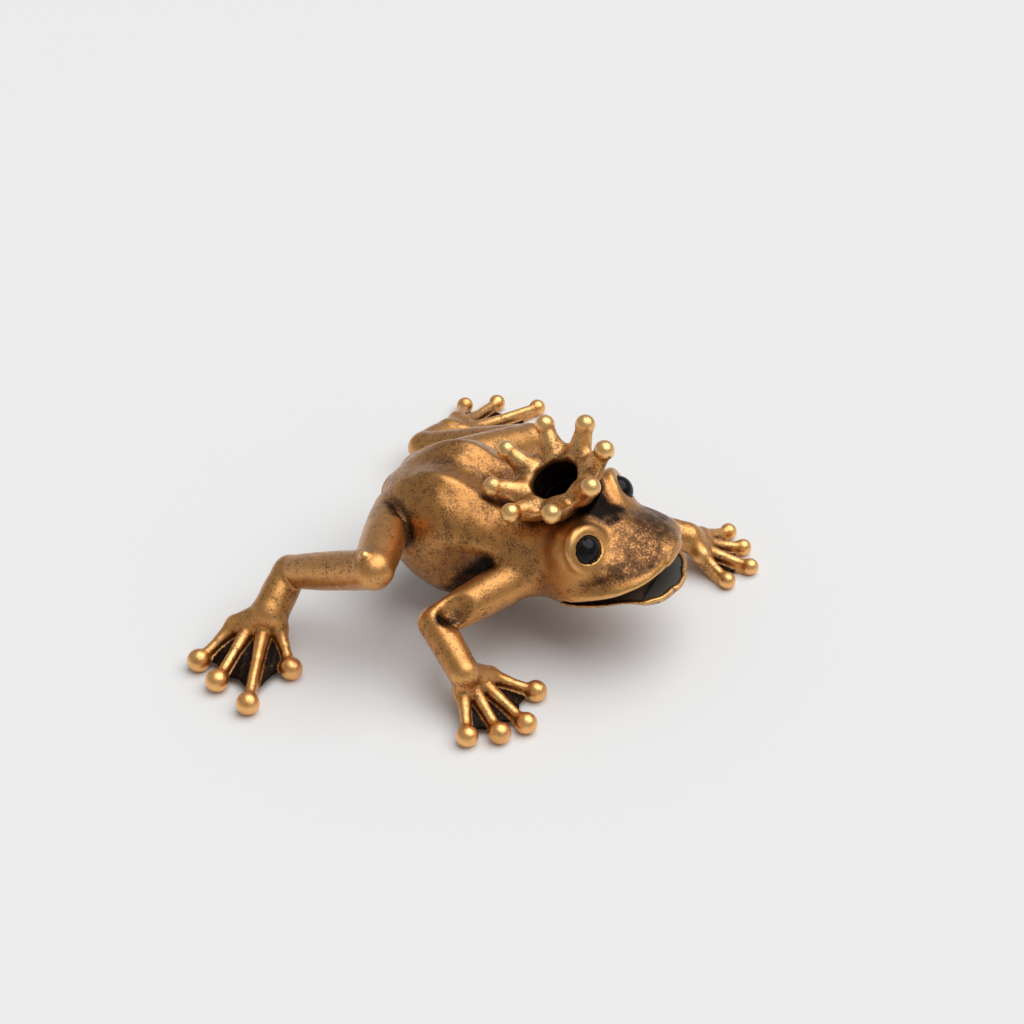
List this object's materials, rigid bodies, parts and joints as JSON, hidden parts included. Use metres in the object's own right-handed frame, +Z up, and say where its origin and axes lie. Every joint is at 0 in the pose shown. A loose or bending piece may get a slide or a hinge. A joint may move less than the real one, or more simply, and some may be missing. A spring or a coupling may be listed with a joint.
{
  "type": "crowned frog figurine",
  "caption": "Cast bronze frog crawling on spread webbed feet, with bead eyes, a slightly open mouth and a flared crown of ball-tipped points around an open middle.",
  "frame": {"origin": "middle of the floor that the toes cover", "axes": "+Z up from the floor, nose towards -Y, the frog's left towards +X"},
  "size_m": [0.1672, 0.1358, 0.0628],
  "materials": {
    "patinated_bronze": "satin brown-gold patina, dark in the hollows and rubbed bright on the ridges",
    "polished_bronze": "brighter golden satin with dark hollows",
    "black_glass": "gloss"
  },
  "bodies": {
    "root": {"body_casting": "patinated_bronze", "lower_jaw": "patinated_bronze", "crown": "polished_bronze", "right_eye": "black_glass", "left_eye": "black_glass", "right_hind_leg": "patinated_bronze", "left_hind_leg": "patinated_bronze", "right_foreleg": "patinated_bronze", "left_foreleg": "patinated_bronze"}
  },
  "joints": []
}
